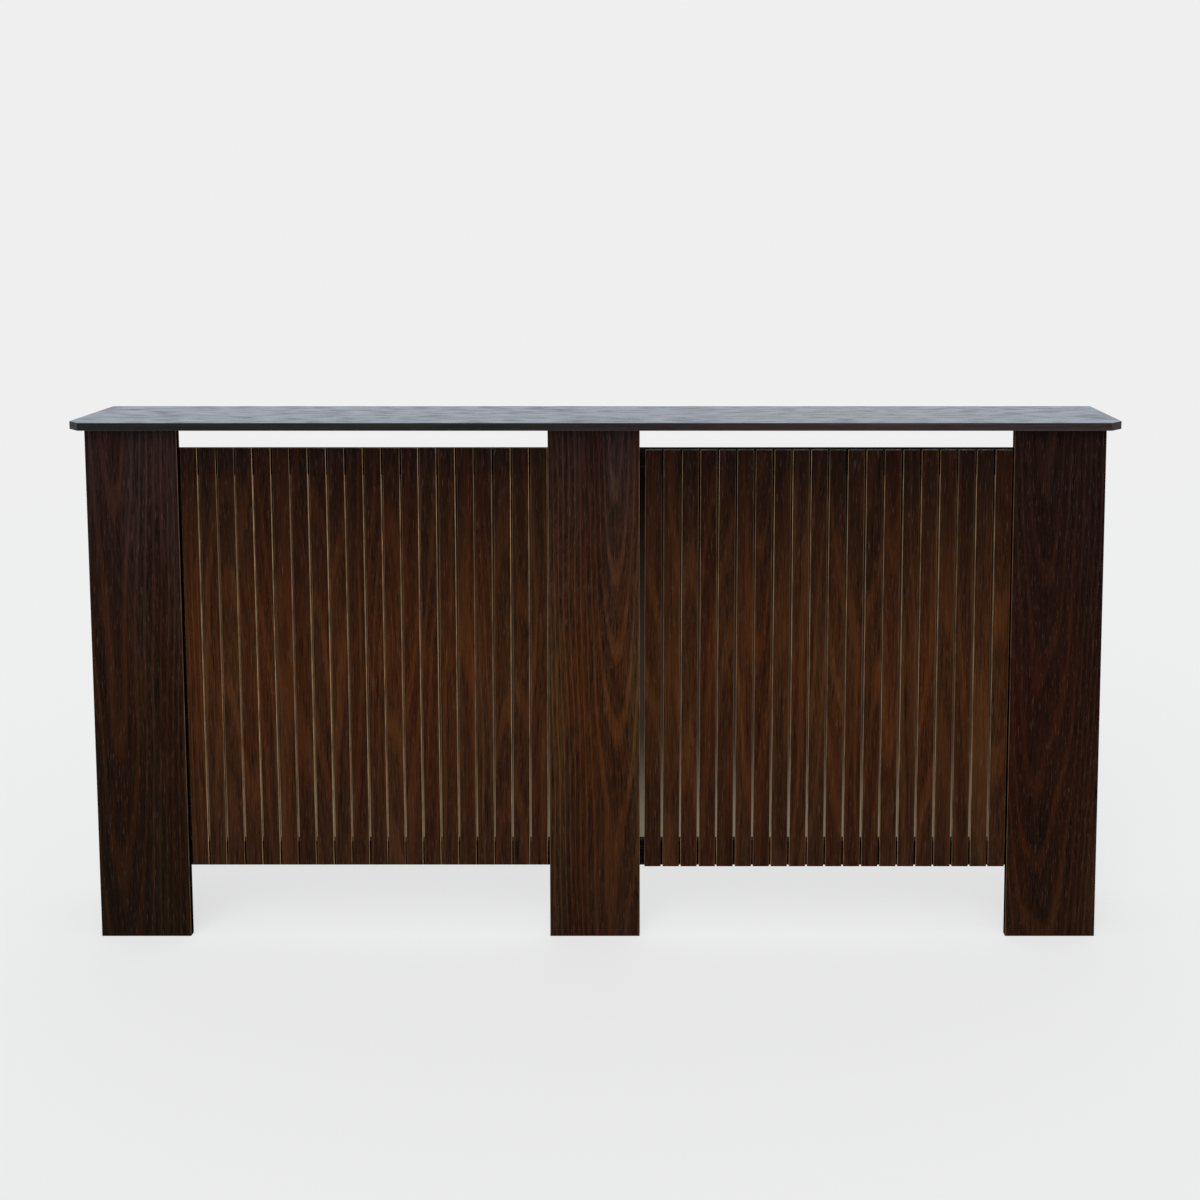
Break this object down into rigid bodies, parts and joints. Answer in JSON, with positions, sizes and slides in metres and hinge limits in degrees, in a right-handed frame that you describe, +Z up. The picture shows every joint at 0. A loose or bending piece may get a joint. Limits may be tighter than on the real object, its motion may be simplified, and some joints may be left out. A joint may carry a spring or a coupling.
{
  "type": "radiator cover cabinet",
  "caption": "Free-standing wooden radiator cover: a long shelf on stiles and side panels, with vertical slat grilles and an air slot under the shelf.",
  "frame": {"origin": "on the floor, midway between the shelf's ends and midway between its front edge and the wall", "axes": "+X to the right as seen from the room, +Y towards the wall, +Z up"},
  "size_m": [1.6, 0.19, 0.815],
  "materials": {
    "shelf_veneer": "dark stained open-grain veneer, satin lacquer",
    "stile_veneer": "dark stained open-grain veneer, satin lacquer",
    "slat_veneer": "dark stained open-grain veneer, satin lacquer",
    "rail_wood": "dark stained softwood, matt",
    "dowel_beech": "plain fluted beech",
    "zinc_steel": "bright zinc plate"
  },
  "bodies": {
    "root": {"top_shelf": "shelf_veneer", "left_stile": "stile_veneer", "centre_stile": "stile_veneer", "right_stile": "stile_veneer", "left_side_panel": "stile_veneer", "right_side_panel": "stile_veneer", "left_corner_batten": "rail_wood", "right_corner_batten": "rail_wood", "top_rail": "rail_wood", "bottom_rail": "rail_wood", "left_slat_01": "slat_veneer", "left_slat_02": "slat_veneer", "left_slat_03": "slat_veneer", "left_slat_04": "slat_veneer", "left_slat_05": "slat_veneer", "left_slat_06": "slat_veneer", "left_slat_07": "slat_veneer", "left_slat_08": "slat_veneer", "left_slat_09": "slat_veneer", "left_slat_10": "slat_veneer", "left_slat_11": "slat_veneer", "left_slat_12": "slat_veneer", "left_slat_13": "slat_veneer", "left_slat_14": "slat_veneer", "left_slat_15": "slat_veneer", "left_slat_16": "slat_veneer", "left_slat_17": "slat_veneer", "left_slat_18": "slat_veneer", "left_slat_19": "slat_veneer", "left_slat_20": "slat_veneer", "right_slat_01": "slat_veneer", "right_slat_02": "slat_veneer", "right_slat_03": "slat_veneer", "right_slat_04": "slat_veneer", "right_slat_05": "slat_veneer", "right_slat_06": "slat_veneer", "right_slat_07": "slat_veneer", "right_slat_08": "slat_veneer", "right_slat_09": "slat_veneer", "right_slat_10": "slat_veneer", "right_slat_11": "slat_veneer", "right_slat_12": "slat_veneer", "right_slat_13": "slat_veneer", "right_slat_14": "slat_veneer", "right_slat_15": "slat_veneer", "right_slat_16": "slat_veneer", "right_slat_17": "slat_veneer", "right_slat_18": "slat_veneer", "right_slat_19": "slat_veneer", "right_slat_20": "slat_veneer", "left_slat_pins": "zinc_steel", "right_slat_pins": "zinc_steel", "shelf_angles": "zinc_steel", "wall_brackets": "zinc_steel", "rail_screws": "zinc_steel", "batten_screws": "zinc_steel", "bracket_screws": "zinc_steel", "shelf_dowels": "dowel_beech"}
  },
  "joints": []
}
